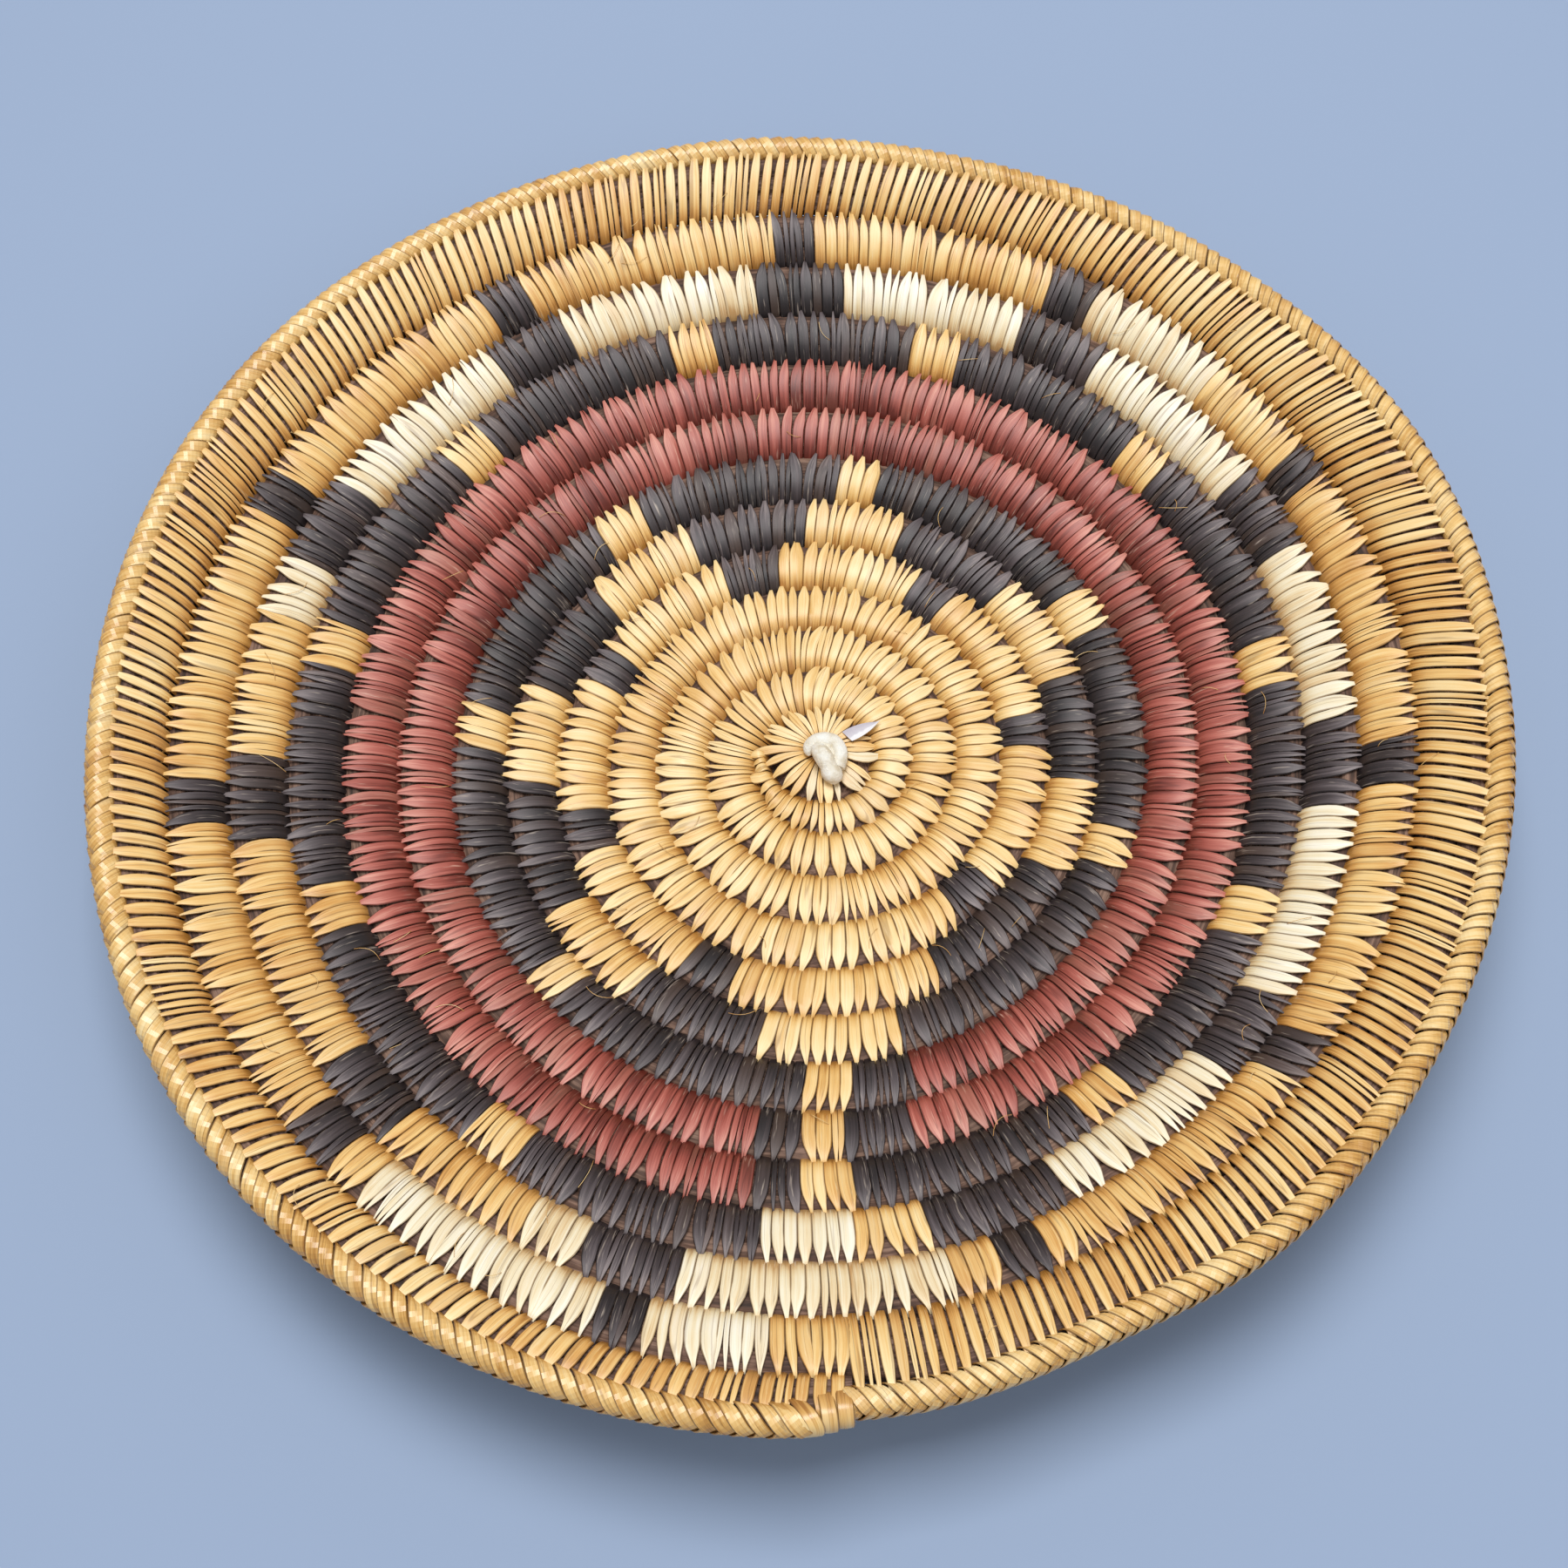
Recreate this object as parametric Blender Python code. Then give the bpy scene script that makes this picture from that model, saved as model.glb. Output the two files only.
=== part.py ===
"""Navajo wedding basket: a shallow coiled bowl, taken apart along its one long coil.

Three rods run side by side in a spiral from the centre start to the rim. The splints
sewn round them are hollow sleeves that follow the same spiral, parted at each turn and
where the path crosses the bands. A braid covers the rim, and a knotted string sits in
the hole of the start. Metres, +Z up, the flat underside at z = 0, the rim centred on
the Z axis, the path towards -Y.
"""
import math

import bmesh
import bpy
from mathutils import Vector

RIM_RADIUS = 0.160
RIM_GROWTH = 0.0046
BOWL_RISE = 0.0448
FLAT_RADIUS = 0.0384
RISE_POWER = 1.6
WARP_ALONG = 0.0031
WARP_ACROSS = -0.0018
START_OFFSET_X = 0.0047
START_OFFSET_Y = 0.0054

PATH_ANGLE = 270.0
TURNS = 12
STEPS_PER_TURN = 24
START_EDGE = 0.0074
RIM_MARGIN = 0.0098  # from the last full turn's edge out to the rim's mean edge
COIL_PITCH = (RIM_RADIUS - RIM_MARGIN - START_EDGE) / TURNS
HALF_THICK = 0.0046
FLAT_SHARE = 0.52
SEAM = 0.00034

ROD_RADIUS = 0.0013
ROD_SIDES = 5
ROD_GAP = 0.0006
ROD_CLEARANCE = 0.00035
ROD_FIRST_TURN = 1.03
ROD_LAST_TURN = 12.75
ROD_END_GAP = 0.0005
THINNING_ROOM = 0.0018
FULL_BUNDLE_REACH = 0.0042

BRAID_WIDTH = 0.0062
BRAID_HALF_THICK = 0.0050
BRAID_FLAT_SHARE = 0.60
BRAID_START = 0.0
BRAID_END = 0.984
TAPER_FROM = 0.72
TAPER_DEPTH = 0.0020

HOLE_RADIUS = 0.0018
START_SHOULDER = 0.0029
STRING_RADIUS = 0.0013
KNOT_RADIUS = 0.0046
KNOT_HEIGHT = 0.0060
STRING_END_LIFT = 0.0008
TAIL_LENGTH = 0.0075
TAIL_RADIUS = 0.0021
TAIL_ANGLE = -80.0
FLAKE_GAP = 0.0010
FLAKE_LENGTH = 0.0090
FLAKE_WIDTH = 0.0030
FLAKE_THICK = 0.0005
FLAKE_ANGLE = 30.0

# Where each sleeve ends, as turns from the start. Whole numbers lie on the path's line,
# and the short sleeves beside them are the blocks of the path through the bands.
SLEEVES = [
    ("turn_01_tan", "tan", 2.0),
    ("turn_02_tan", "tan", 3.0),
    ("turn_03_tan", "tan", 4.0),
    ("turn_04_star", "tan", 5.0),
    ("turn_05_star", "black", 6.0),
    ("turn_06_star", "black", 6.985),
    ("path_inner_tan", "tan", 7.006),
    ("turn_07_black_right", "black", 7.033),
    ("turn_07_red", "red", 7.968),
    ("turn_07_black_left", "black", 7.985),
    ("path_middle_tan", "tan", 8.001),
    ("turn_08_black_right", "black", 8.026),
    ("turn_08_red", "red", 8.970),
    ("turn_08_black_left", "black", 8.985),
    ("path_outer_tan", "tan", 9.003),
    ("turn_09_mountains", "black", 9.975),
    ("path_inner_white", "white", 10.002),
    ("turn_10_fields", "white", 10.955),
    ("path_outer_white", "white", 11.027),
    ("turn_11_peaks", "golden", 12.0),
    ("turn_12_golden", "golden", 12.75),
]
COIL_END = 13.0

COLOURS = {
    "tan": (0.72, 0.46, 0.18),
    "golden": (0.66, 0.40, 0.13),
    "white": (0.80, 0.68, 0.45),
    "black": (0.045, 0.038, 0.042),
    "red": (0.30, 0.055, 0.045),
}


def clear_scene():
    for item in list(bpy.data.objects):
        bpy.data.objects.remove(item, do_unlink=True)


def make_material(name, colour, roughness):
    material = bpy.data.materials.new(name)
    material.use_nodes = True
    shader = material.node_tree.nodes["Principled BSDF"]
    shader.inputs["Base Color"].default_value = (*colour, 1.0)
    shader.inputs["Roughness"].default_value = roughness
    material.diffuse_color = (*colour, 1.0)
    return material


def coil_edge(turn):
    """Radius of the coil's outer edge at a count of turns from the start."""
    return START_EDGE + COIL_PITCH * turn


def rim_edge(share):
    """Outer radius of the rim at a share of its one turn."""
    return RIM_RADIUS + RIM_GROWTH * (share - 0.5)


def braid_inner_edge(share):
    """The braid's inner edge, which squeezes the last coil out near its end."""
    late = max(0.0, (share - TAPER_FROM) / (1.0 - TAPER_FROM))
    taper = late * late * (3.0 - 2.0 * late)
    return rim_edge(share) - BRAID_WIDTH - TAPER_DEPTH * taper


def surface(radius, turn):
    """Point on the middle of the wall at a radius, in the direction of a turn count.

    A quarter of the rim's growth is added so that the rim's box is centred on the axis.
    """
    angle = math.radians(PATH_ANGLE) + 2.0 * math.pi * turn
    centring = 1.0 - radius / RIM_RADIUS
    climb = max(0.0, (radius - FLAT_RADIUS) / (RIM_RADIUS - FLAT_RADIUS))
    warp = WARP_ALONG * math.cos(2.0 * angle) + WARP_ACROSS * math.sin(2.0 * angle)
    shift = 0.25 * RIM_GROWTH
    return Vector((shift + START_OFFSET_X * centring + radius * math.cos(angle),
                   shift + START_OFFSET_Y * centring + radius * math.sin(angle),
                   HALF_THICK + BOWL_RISE * climb ** RISE_POWER + warp * climb * climb))


def surface_axes(radius, turn):
    """Unit directions outward along the wall and square to it, in one upright plane."""
    step = 0.0005
    outward = (surface(radius + step, turn) - surface(radius - step, turn)).normalized()
    upright = Vector((0.0, 0.0, 1.0))
    return outward, (upright - outward * upright.dot(outward)).normalized()


def coil_edges(turn):
    """Inner and outer edge radius of the coil at a turn count."""
    if turn > TURNS:
        return coil_edge(turn - 1.0), braid_inner_edge(turn - TURNS)
    return coil_edge(turn - 1.0), coil_edge(turn)


def wall_section(turn, inner, outer, half_thick, flat_share):
    """Six corners of a cross-section: two on top, two below, one at each edge.

    The corners below never pass under the flat face that the basket stands on.
    """
    middle = 0.5 * (inner + outer)
    along, square = surface_axes(middle, turn)
    centre = surface(middle, turn)
    flat = 0.5 * (outer - inner) * flat_share
    side_in = surface(inner, turn) + surface_axes(inner, turn)[0] * 0.5 * SEAM
    side_out = surface(outer, turn) - surface_axes(outer, turn)[0] * 0.5 * SEAM
    below_out = centre + along * flat - square * half_thick
    below_in = centre - along * flat - square * half_thick
    below_out.z = max(below_out.z, 0.0)
    below_in.z = max(below_in.z, 0.0)
    return [centre - along * flat + square * half_thick,
            centre + along * flat + square * half_thick,
            side_out, below_out, below_in, side_in]


def bundle_sizes(turn):
    """Radius of each rod and its distance from the bundle's middle.

    The rods thin down where the last coil narrows under the braid.
    """
    inner, outer = coil_edges(turn)
    thinning = (0.5 * (outer - inner) - THINNING_ROOM) / FULL_BUNDLE_REACH
    radius = ROD_RADIUS * min(1.0, thinning)
    return radius, (2.0 * radius + ROD_GAP) / math.sqrt(3.0)


def bundle_point(turn, across, up):
    inner, outer = coil_edges(turn)
    middle = 0.5 * (inner + outer)
    along, square = surface_axes(middle, turn)
    return surface(middle, turn) + along * across + square * up


def bore_section(turn):
    """Six corners that leave a clearance round the three rods.

    Every other side touches one rod's circle, and the sides between them touch two.
    """
    radius, reach = bundle_sizes(turn)
    over_one = reach + radius + ROD_CLEARANCE
    over_two = 0.5 * reach + radius + ROD_CLEARANCE
    corners = []
    for index in range(6):
        first = math.radians(150.0 - 60.0 * index)
        second = math.radians(90.0 - 60.0 * index)
        reach_first, reach_second = (over_two, over_one) if index % 2 == 0 else (over_one, over_two)
        span = math.sin(second - first)
        across = (reach_first * math.sin(second) - reach_second * math.sin(first)) / span
        up = (reach_second * math.cos(first) - reach_first * math.cos(second)) / span
        corners.append(bundle_point(turn, across, up))
    return corners


def coil_ring(turn):
    """The sleeve's outer corners followed by its bore's corners."""
    inner, outer = coil_edges(turn)
    return wall_section(turn, inner, outer, HALF_THICK, FLAT_SHARE) + bore_section(turn)


def rod_ring(turn, place):
    """Corners round one rod of the three."""
    radius, reach = bundle_sizes(turn)
    toward = math.radians(90.0 - 120.0 * place)
    return [bundle_point(turn,
                         reach * math.cos(toward)
                         + radius * math.cos(toward + 2.0 * math.pi * side / ROD_SIDES),
                         reach * math.sin(toward)
                         + radius * math.sin(toward + 2.0 * math.pi * side / ROD_SIDES))
            for side in range(ROD_SIDES)]


def braid_ring(share):
    return wall_section(share, braid_inner_edge(share), rim_edge(share), BRAID_HALF_THICK,
                        BRAID_FLAT_SHARE)


def between(ring_at, turn):
    """A ring on the straight chord between the two grid places beside a turn count."""
    low = math.floor(turn * STEPS_PER_TURN + 1e-9)
    share = turn * STEPS_PER_TURN - low
    before = ring_at(low / STEPS_PER_TURN)
    if share < 1e-6:
        return before
    after = ring_at((low + 1) / STEPS_PER_TURN)
    return [a.lerp(b, share) for a, b in zip(before, after)]


def rings_from(ring_at, first, last):
    """Rings at both ends and at every grid place that lies between them."""
    places = [first]
    step = math.floor(first * STEPS_PER_TURN) + 1
    while step < last * STEPS_PER_TURN - 0.02:
        if step > first * STEPS_PER_TURN + 0.02:
            places.append(step / STEPS_PER_TURN)
        step += 1
    places.append(last)
    return [between(ring_at, place) for place in places]


def drawn_back(first, last, radius):
    """A piece's ends drawn back by half a seam each."""
    back = 0.5 * SEAM / (2.0 * math.pi * radius)
    return first + back, last - back


def add_band(mesh, loops, corners):
    """Quads that join each loop of corners to the next."""
    for here, following in zip(loops[:-1], loops[1:]):
        for index, corner in enumerate(corners):
            after = corners[(index + 1) % len(corners)]
            mesh.faces.new((here[corner], here[after], following[after], following[corner]))


def bar(rings):
    """A solid bar through a list of rings."""
    mesh = bmesh.new()
    loops = [[mesh.verts.new(point) for point in ring] for ring in rings]
    add_band(mesh, loops, list(range(len(rings[0]))))
    mesh.faces.new(list(reversed(loops[0])))
    mesh.faces.new(loops[-1])
    return mesh


def sleeve(rings):
    """A six-sided sleeve with a six-sided bore, closed by a flat ring at each end."""
    mesh = bmesh.new()
    loops = [[mesh.verts.new(point) for point in ring] for ring in rings]
    add_band(mesh, loops, [0, 1, 2, 3, 4, 5])
    add_band(mesh, loops, [11, 10, 9, 8, 7, 6])
    for index in range(6):
        after = (index + 1) % 6
        end_face = (index, after, 6 + after, 6 + index)
        mesh.faces.new([loops[-1][corner] for corner in end_face])
        mesh.faces.new([loops[0][corner] for corner in reversed(end_face)])
    return mesh


def finish_object(name, mesh, material, smooth=False):
    bmesh.ops.recalc_face_normals(mesh, faces=mesh.faces)
    data = bpy.data.meshes.new(name)
    mesh.to_mesh(data)
    mesh.free()
    data.materials.append(material)
    for polygon in data.polygons:
        polygon.use_smooth = smooth
    item = bpy.data.objects.new(name, data)
    bpy.context.scene.collection.objects.link(item)
    return item


def build_sleeves(materials):
    first = 1.0
    for name, colour, last in SLEEVES:
        inner, outer = coil_edges(0.5 * (first + last))
        ends = drawn_back(first, last, 0.5 * (inner + outer))
        finish_object(name, sleeve(rings_from(coil_ring, *ends)), materials[colour])
        first = last
    ends = drawn_back(first, COIL_END, coil_edge(TURNS))
    rings = [ring[:6] for ring in rings_from(coil_ring, *ends)]
    finish_object("coil_end_taper", bar(rings), materials["golden"])


def build_rods(material):
    names = ("rod_upper", "rod_lower_outer", "rod_lower_inner")
    for place, name in enumerate(names):
        end_radius = coil_edge(ROD_LAST_TURN)
        last = ROD_LAST_TURN - ROD_END_GAP / (2.0 * math.pi * end_radius)
        rings = rings_from(lambda turn: rod_ring(turn, place), ROD_FIRST_TURN, last)
        finish_object(name, bar(rings), material, smooth=True)
        least = min((here - there).length
                    for index, ring in enumerate(rings[:-STEPS_PER_TURN - 1])
                    for here in ring for there in rings[index + STEPS_PER_TURN])
        print(f"{name}: least gap to itself {least * 1000:.2f} mm")


def start_ring(turn):
    """The start's section from the string hole out to its spiral edge."""
    outer = coil_edge(turn)
    edge = surface(outer, turn) - surface_axes(outer, turn)[0] * 0.5 * SEAM
    shoulder = surface(outer - START_SHOULDER, turn)
    hole = surface(HOLE_RADIUS, turn)
    lift = Vector((0.0, 0.0, HALF_THICK))
    return [hole + lift, shoulder + lift, edge, shoulder - lift, hole - lift]


def build_start(material):
    """A spiral-edged disc whose two ends meet on the path's line with a seam between."""
    near = 0.5 / STEPS_PER_TURN
    rings = [start_ring(0.0)] + rings_from(start_ring, near, 1.0 - near) + [start_ring(1.0)]
    path = math.radians(PATH_ANGLE)
    across = Vector((-math.sin(path), math.cos(path), 0.0))
    for ring, side in ((rings[0], 1.0), (rings[-1], -1.0)):
        for point in ring:
            point += across * side * 0.5 * SEAM
    finish_object("centre_start", bar(rings), material)


def build_braid(material):
    ends = drawn_back(BRAID_START, BRAID_END, RIM_RADIUS)
    finish_object("rim_braid", bar(rings_from(braid_ring, *ends)), material)
    halfway = 0.5 * (BRAID_END + 1.0)
    ends = drawn_back(BRAID_END, halfway, RIM_RADIUS)
    finish_object("rim_end_wrap_1", bar(rings_from(braid_ring, *ends)), material)
    ends = drawn_back(halfway, 1.0, RIM_RADIUS)
    finish_object("rim_end_wrap_2", bar(rings_from(braid_ring, *ends)), material)


def build_string(material):
    """The knot on top of the start and the length that goes down through its hole."""
    seat = surface(0.0, 0.0)
    top = 2.0 * HALF_THICK + SEAM
    outline = [(0.0, STRING_END_LIFT), (STRING_RADIUS, STRING_END_LIFT), (STRING_RADIUS, top),
               (0.72 * KNOT_RADIUS, top), (KNOT_RADIUS, top + 0.30 * KNOT_HEIGHT),
               (0.90 * KNOT_RADIUS, top + 0.66 * KNOT_HEIGHT),
               (0.48 * KNOT_RADIUS, top + 0.94 * KNOT_HEIGHT), (0.0, top + KNOT_HEIGHT)]
    mesh = bmesh.new()
    corners = [mesh.verts.new((seat.x + radius, seat.y, height)) for radius, height in outline]
    edges = [mesh.edges.new(pair) for pair in zip(corners[:-1], corners[1:])]
    bmesh.ops.spin(mesh, geom=corners + edges, cent=(seat.x, seat.y, 0.0), axis=(0.0, 0.0, 1.0),
                   angle=2.0 * math.pi, steps=12, use_merge=True)
    bmesh.ops.remove_doubles(mesh, verts=mesh.verts, dist=0.00001)
    finish_object("string_knot", mesh, material, smooth=True)


def build_tail(material):
    """The string's short cut end, lying beside the knot."""
    seat = surface(0.0, 0.0)
    turn = math.radians(TAIL_ANGLE)
    along = Vector((math.cos(turn), math.sin(turn), 0.0))
    across = Vector((-along.y, along.x, 0.0))
    floor = 2.0 * HALF_THICK + SEAM
    rings = []
    for share, width in ((0.0, 0.62), (0.25, 0.90), (0.75, 1.0), (1.0, 0.66)):
        size = TAIL_RADIUS * width
        middle = seat + along * (KNOT_RADIUS + SEAM + TAIL_LENGTH * share)
        middle.z = floor + size
        rings.append([middle + across * size * math.cos(math.radians(45.0 * side + 22.5))
                      + Vector((0.0, 0.0, size * math.sin(math.radians(45.0 * side + 22.5))))
                      for side in range(8)])
    finish_object("string_tail", bar(rings), material, smooth=True)


def build_flake(material):
    """A thin pale pointed scrap beside the knot."""
    seat = surface(0.0, 0.0)
    turn = math.radians(FLAKE_ANGLE)
    along = Vector((math.cos(turn), math.sin(turn), 0.0))
    across = Vector((-along.y, along.x, 0.0))
    floor = 2.0 * HALF_THICK + SEAM
    start = seat + along * (KNOT_RADIUS + FLAKE_GAP)
    rings = []
    for height in (floor, floor + FLAKE_THICK):
        ring = []
        for share, side in ((0.0, -0.32), (0.45, -0.5), (1.0, 0.0), (0.5, 0.5), (0.0, 0.34)):
            corner = start + along * FLAKE_LENGTH * share + across * FLAKE_WIDTH * side
            corner.z = height
            ring.append(corner)
        rings.append(ring)
    finish_object("pale_flake", bar(rings), material)


def main():
    clear_scene()
    materials = {name: make_material(f"{name}_splint", colour, 0.5)
                 for name, colour in COLOURS.items()}
    build_rods(make_material("rod_wood", (0.16, 0.10, 0.07), 0.8))
    build_start(materials["tan"])
    build_sleeves(materials)
    build_braid(materials["golden"])
    cotton = make_material("cotton_string", (0.84, 0.80, 0.72), 0.9)
    build_string(cotton)
    build_tail(cotton)
    build_flake(make_material("pale_scrap", (0.70, 0.68, 0.74), 0.3))


main()
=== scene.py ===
"""Navajo wedding basket: a shallow coiled bowl, seen from above its near side.

Every splint stitch is its own flattened band round the coil that carries it, laid along
the same spiral as the part's sleeves. Metres, +Z up, in the part's own frame.
"""
import bisect
import math
import random

import bmesh
import bpy
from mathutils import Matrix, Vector


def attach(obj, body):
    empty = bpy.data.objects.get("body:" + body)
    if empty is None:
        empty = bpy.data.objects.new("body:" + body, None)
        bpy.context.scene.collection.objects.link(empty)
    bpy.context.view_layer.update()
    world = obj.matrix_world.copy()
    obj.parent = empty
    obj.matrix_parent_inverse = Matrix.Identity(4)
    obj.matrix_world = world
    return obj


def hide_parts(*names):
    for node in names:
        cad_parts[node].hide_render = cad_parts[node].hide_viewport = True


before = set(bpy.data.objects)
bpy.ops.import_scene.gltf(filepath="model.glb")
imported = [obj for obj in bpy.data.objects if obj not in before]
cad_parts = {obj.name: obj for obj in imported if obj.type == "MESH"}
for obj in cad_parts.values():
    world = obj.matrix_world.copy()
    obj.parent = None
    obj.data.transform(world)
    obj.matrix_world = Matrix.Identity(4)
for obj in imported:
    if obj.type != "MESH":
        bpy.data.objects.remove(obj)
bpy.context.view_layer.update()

# The bowl's form, as in the part.
RIM_RADIUS = 0.160
RIM_GROWTH = 0.0046
BOWL_RISE = 0.0448
FLAT_RADIUS = 0.0384
RISE_POWER = 1.6
WARP_ALONG = 0.0031
WARP_ACROSS = -0.0018
START_OFFSET_X = 0.0047
START_OFFSET_Y = 0.0054
PATH_ANGLE = 270.0
TURNS = 12
COIL_START = 0.74
START_EDGE = 0.0074
RIM_MARGIN = 0.0098
COIL_PITCH = (RIM_RADIUS - RIM_MARGIN - START_EDGE) / TURNS
HALF_THICK = 0.0046
# The braid: its width and half height, the length round its girth, how square its section
# is, and the shares of the rim at which its straps and its core end.
BRAID_WIDTH = 0.0054
BRAID_HALF_HEIGHT = 0.0029
BRAID_GIRTH = 0.0178
BRAID_SQUARENESS = 2.3
BRAID_END = 0.984
CORE_END = 0.992
CORE_RADIUS = 0.0023
STRAP_THICK = 0.00034
WRAP_THICK = 0.00036
# How far the braid lies in from the rim's edge, and how much further its bound end does.
BRAID_INSET = 0.0003
BOUND_INSET = 0.0020
BOUND_FROM = 0.990
# Degrees over which a strap dips under where the two lanes of the braid pass each other.
DIP = 13.0
# How much wider the last part's straps are, and the shares over which they grow so.
WIDER = 0.16
WIDER_FROM = 0.72
WIDER_TO = 0.84
# How far the tips of the last turn run in under the braid.
TIP_COVERED = 0.0016
# The part's nodes along the coil, each with the turn at which it ends.
SLEEVE_ENDS = [
    ("turn_01_tan", 2.0), ("turn_02_tan", 3.0), ("turn_03_tan", 4.0), ("turn_04_star", 5.0),
    ("turn_05_star", 6.0), ("turn_06_star", 6.985), ("path_inner_tan", 7.006),
    ("turn_07_black_right", 7.033), ("turn_07_red", 7.968), ("turn_07_black_left", 7.985),
    ("path_middle_tan", 8.001), ("turn_08_black_right", 8.026), ("turn_08_red", 8.970),
    ("turn_08_black_left", 8.985), ("path_outer_tan", 9.003), ("turn_09_mountains", 9.975),
    ("path_inner_white", 10.002), ("turn_10_fields", 10.955), ("path_outer_white", 11.027),
    ("turn_11_peaks", 12.0), ("turn_12_golden", 12.75), ("coil_end_taper", 13.01)]

# The camera, and the angles about the knot at which it sees each colour begin and end.
AIM = Vector((-0.0039, -0.0006, 0.0046))
CAMERA_REACH = 0.560
CAMERA_RISE = math.radians(66.6)
CAMERA_ROLL = math.radians(4.03)
LENS = 52.66
SENSOR = 36.0
# The place the angles were read about, measured from the middle of the start.
SIGHT_CENTRE = Vector((0.0003, -0.0034, 0.0))
PATH_AGAIN = PATH_ANGLE + 360.0
GROUND = {1: "tan", 2: "tan", 3: "tan", 4: "tan", 5: "black", 6: "black", 7: "red", 8: "red",
          9: "black", 10: "white", 11: "golden", 12: "golden"}
MARKS = {
    4: [("black", 311.75, 324.75), ("black", 364.5, 373), ("black", 412.5, 423.5),
        ("black", 463.5, 479), ("black", 513, 521.5), ("black", 551.75, 561.75),
        ("black", 595.75, 607.75)],
    5: [("tan", 270, 298.75), ("tan", 334.5, 355.75), ("tan", 379.5, 404), ("tan", 431.5, 454.5),
        ("tan", 481.5, 504.5), ("tan", 526, 544.5), ("tan", 569.5, 590.75),
        ("tan", 617.25, 630)],
    6: [("tan", 270, 286), ("tan", 339.5, 347.25), ("tan", 386, 394.5), ("tan", 439.25, 447.25),
        ("tan", 486.75, 495.25), ("tan", 531.25, 538.25), ("tan", 576.25, 582),
        ("tan", 626.75, 630)],
    7: [("tan", 270, 275.25), ("black", 275.25, 286), ("black", 619.75, 626.5),
        ("tan", 626.5, 630)],
    8: [("tan", 270, 273.25), ("black", 273.25, 283.5), ("black", 620.5, 626.75),
        ("tan", 626.75, 630)],
    9: [("golden", 270, 274), ("golden", 306, 312.75), ("golden", 337, 343.5),
        ("golden", 369.5, 375.25), ("golden", 400.5, 406), ("golden", 431.5, 438),
        ("golden", 464.75, 470.5), ("golden", 496.25, 501.25), ("golden", 524.25, 529.25),
        ("golden", 554, 559.25), ("golden", 586, 592.25), ("white", 622.25, 630)],
    10: [("golden", 273.75, 282.5), ("black", 282.5, 299), ("black", 322, 332),
         ("black", 354.75, 364.5), ("black", 384.5, 394), ("black", 415.5, 425.5),
         ("black", 447.5, 458.25), ("black", 481, 489.5), ("black", 510, 519),
         ("golden", 525, 539.5), ("black", 539.5, 548), ("golden", 548, 571.5),
         ("black", 571.5, 580.5), ("golden", 580.5, 597), ("black", 603.5, 614.25)],
    11: [("white", 270, 284), ("black", 289.25, 294.5), ("black", 325.25, 330.25),
         ("black", 357.5, 362), ("black", 389.5, 393), ("white", 404.5, 419.5),
         ("black", 419.5, 424.5), ("black", 451, 455.5), ("black", 482.5, 486.75),
         ("black", 512.25, 516.25), ("black", 541.75, 545.75), ("black", 574.25, 579),
         ("white", 582.75, 607.5), ("black", 607.5, 612.25), ("white", 612.25, 624.5)],
}

# Real sizes of the sewing, in metres.
STITCH_PITCH = 0.0030
SPLINT_THICK = 0.00027
STITCH_HALF_THICK = 0.0042
RIB_PITCH = 0.0033
UPPER_ROD = 0.0023
LOWER_ROD = 0.0034
ROD_STEPS = 60
START_HOLE = 0.0022
STRING_RADIUS = 0.0020
FLAKE_LENGTH = 0.0086
FLAKE_WIDTH = 0.0040
FLAKE_THICK = 0.00018
FLAKE_HEADING = math.radians(22.0)
# Loose fibres: how many, their half width and thickness, and their height over the wall.
STRAY_FIBRES = 75
FIBRE_HALF = 0.00006
FIBRE_THICK = 0.00009
FIBRE_LIFT = 0.0045
FIBRE_ARCH = 0.0007

# How the hand-laid rows stray from an even spiral: all of them lie inward and are shifted
# toward the near side, and the first turn is wider and shifted further, which soon fades.
ROW_INSET = 0.0009
ROW_SHIFT = 0.0014
START_SPREAD = 0.0027
START_SHIFT_NEAR = 0.0026
START_SHIFT_RIGHT = 0.0020
START_FADE = 0.8
# How far the rim stands out at its start and is drawn in at its end.
START_BULGE = 0.0010
END_PINCH = 0.0003
# Where else the rim bulges or is pressed in: the share of its way round, how far, and the
# share over which that dies away.
RIM_BULGES = [(0.055, -0.0017, 0.045), (0.10, 0.0011, 0.05), (0.31, 0.0013, 0.07),
              (0.44, -0.0009, 0.07), (0.65, 0.0009, 0.10), (0.85, 0.0009, 0.11)]

# Degrees that the stitches slope back from straight outward: turns along the coil, the
# mean there, and how far it swings within a turn, most at the share SLANT_PEAK of it.
SLANTS = [(1.0, 8, 12), (2.5, 7, 10), (4.0, 6, 3), (6.5, 6, 3), (9.5, -2.5, 2.5),
          (12.0, -3, 3)]
SLANT_PEAK = 0.65
# The same on the last turn, whose stitches lead to the braid's straps, without a swing.
LAST_SLANTS = [(12.0, -4), (12.1, 8), (12.25, 17), (12.36, 11), (12.6, 14), (12.7, 19),
               (12.82, 11), (12.92, 20), (12.97, 10), (13.0, 2)]

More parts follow.
